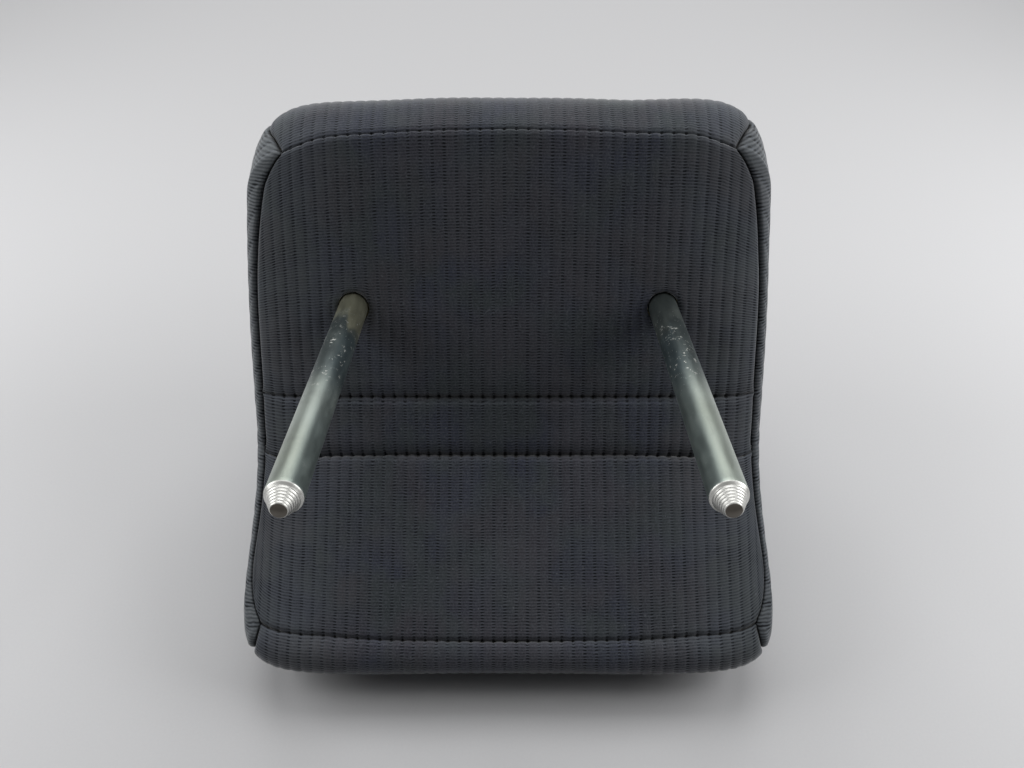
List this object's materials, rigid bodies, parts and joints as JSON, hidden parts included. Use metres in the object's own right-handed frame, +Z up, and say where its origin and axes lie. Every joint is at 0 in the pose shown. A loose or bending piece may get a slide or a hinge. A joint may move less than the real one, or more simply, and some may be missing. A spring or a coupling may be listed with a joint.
{
  "type": "car headrest",
  "caption": "Vehicle seat head restraint: a foam pad in a ribbed knit cover with a low front lip, carried on a bent steel stay whose bare legs enter the seat back.",
  "frame": {"origin": "midway between the two legs of the stay, where they leave the underside of the pad", "axes": "+Z up along the legs in use, -Y towards the occupant's head, +X to the occupant's left"},
  "size_m": [0.2284, 0.2183, 0.246],
  "materials": {
    "plated_steel": "worn plated bar with scratches, bare turned ends",
    "black_steel": "black dipped pressed steel",
    "pad_foam": "moulded open-cell polyurethane foam",
    "ribbed_knit": "charcoal ribbed knit laminated to thin foam",
    "wire_steel": "drawn steel wire"
  },
  "bodies": {
    "root": {"stay_rod": "plated_steel", "armature_plate": "black_steel", "left_leg_strap": "black_steel", "right_leg_strap": "black_steel", "left_bar_strap": "black_steel", "right_bar_strap": "black_steel", "foam_core": "pad_foam", "underside_rear_panel": "ribbed_knit", "tuck_strip": "ribbed_knit", "underside_front_panel": "ribbed_knit", "wrap_panel": "ribbed_knit", "left_gusset": "ribbed_knit", "right_gusset": "ribbed_knit", "rear_listing_wire": "wire_steel", "rear_foam_wire": "wire_steel", "rear_hog_ring_1": "wire_steel", "rear_hog_ring_2": "wire_steel", "rear_hog_ring_3": "wire_steel", "front_listing_wire": "wire_steel", "front_foam_wire": "wire_steel", "front_hog_ring_1": "wire_steel", "front_hog_ring_2": "wire_steel", "front_hog_ring_3": "wire_steel"}
  },
  "joints": []
}
